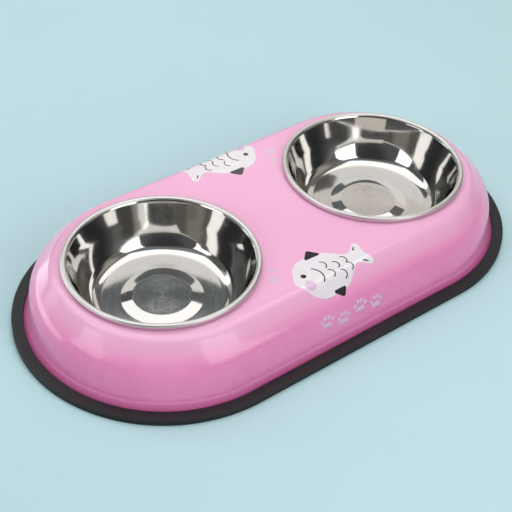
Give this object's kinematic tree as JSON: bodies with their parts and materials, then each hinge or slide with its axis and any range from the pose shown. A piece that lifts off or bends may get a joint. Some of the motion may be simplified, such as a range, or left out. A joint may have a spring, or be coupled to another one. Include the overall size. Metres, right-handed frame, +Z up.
{
  "type": "double pet bowl",
  "caption": "Low oblong enamelled steel stand with a rubber base ring, holding lift-out round steel feeding bowls side by side.",
  "frame": {"origin": "on the floor, under the middle of the stand", "axes": "+X along the stand from the left bowl to the right one, -Y to the front, +Z up"},
  "size_m": [0.41, 0.222, 0.053],
  "materials": {
    "pink_enamel": "glossy baked enamel",
    "black_rubber": "satin moulded rubber",
    "polished_steel": "polished wall, finely spun floor and satin rim"
  },
  "bodies": {
    "stand": {"stand_shell": "pink_enamel", "rubber_ring": "black_rubber"},
    "left_bowl": {"bowl_left": "polished_steel"},
    "right_bowl": {"bowl_right": "polished_steel"}
  },
  "joints": [
    {"name": "left_bowl_lift", "type": "slide", "parent": "stand", "child": "left_bowl", "axis": [0, 0, 1], "range_m": [0, 0.06]},
    {"name": "right_bowl_lift", "type": "slide", "parent": "stand", "child": "right_bowl", "axis": [0, 0, 1], "range_m": [0, 0.06]}
  ]
}
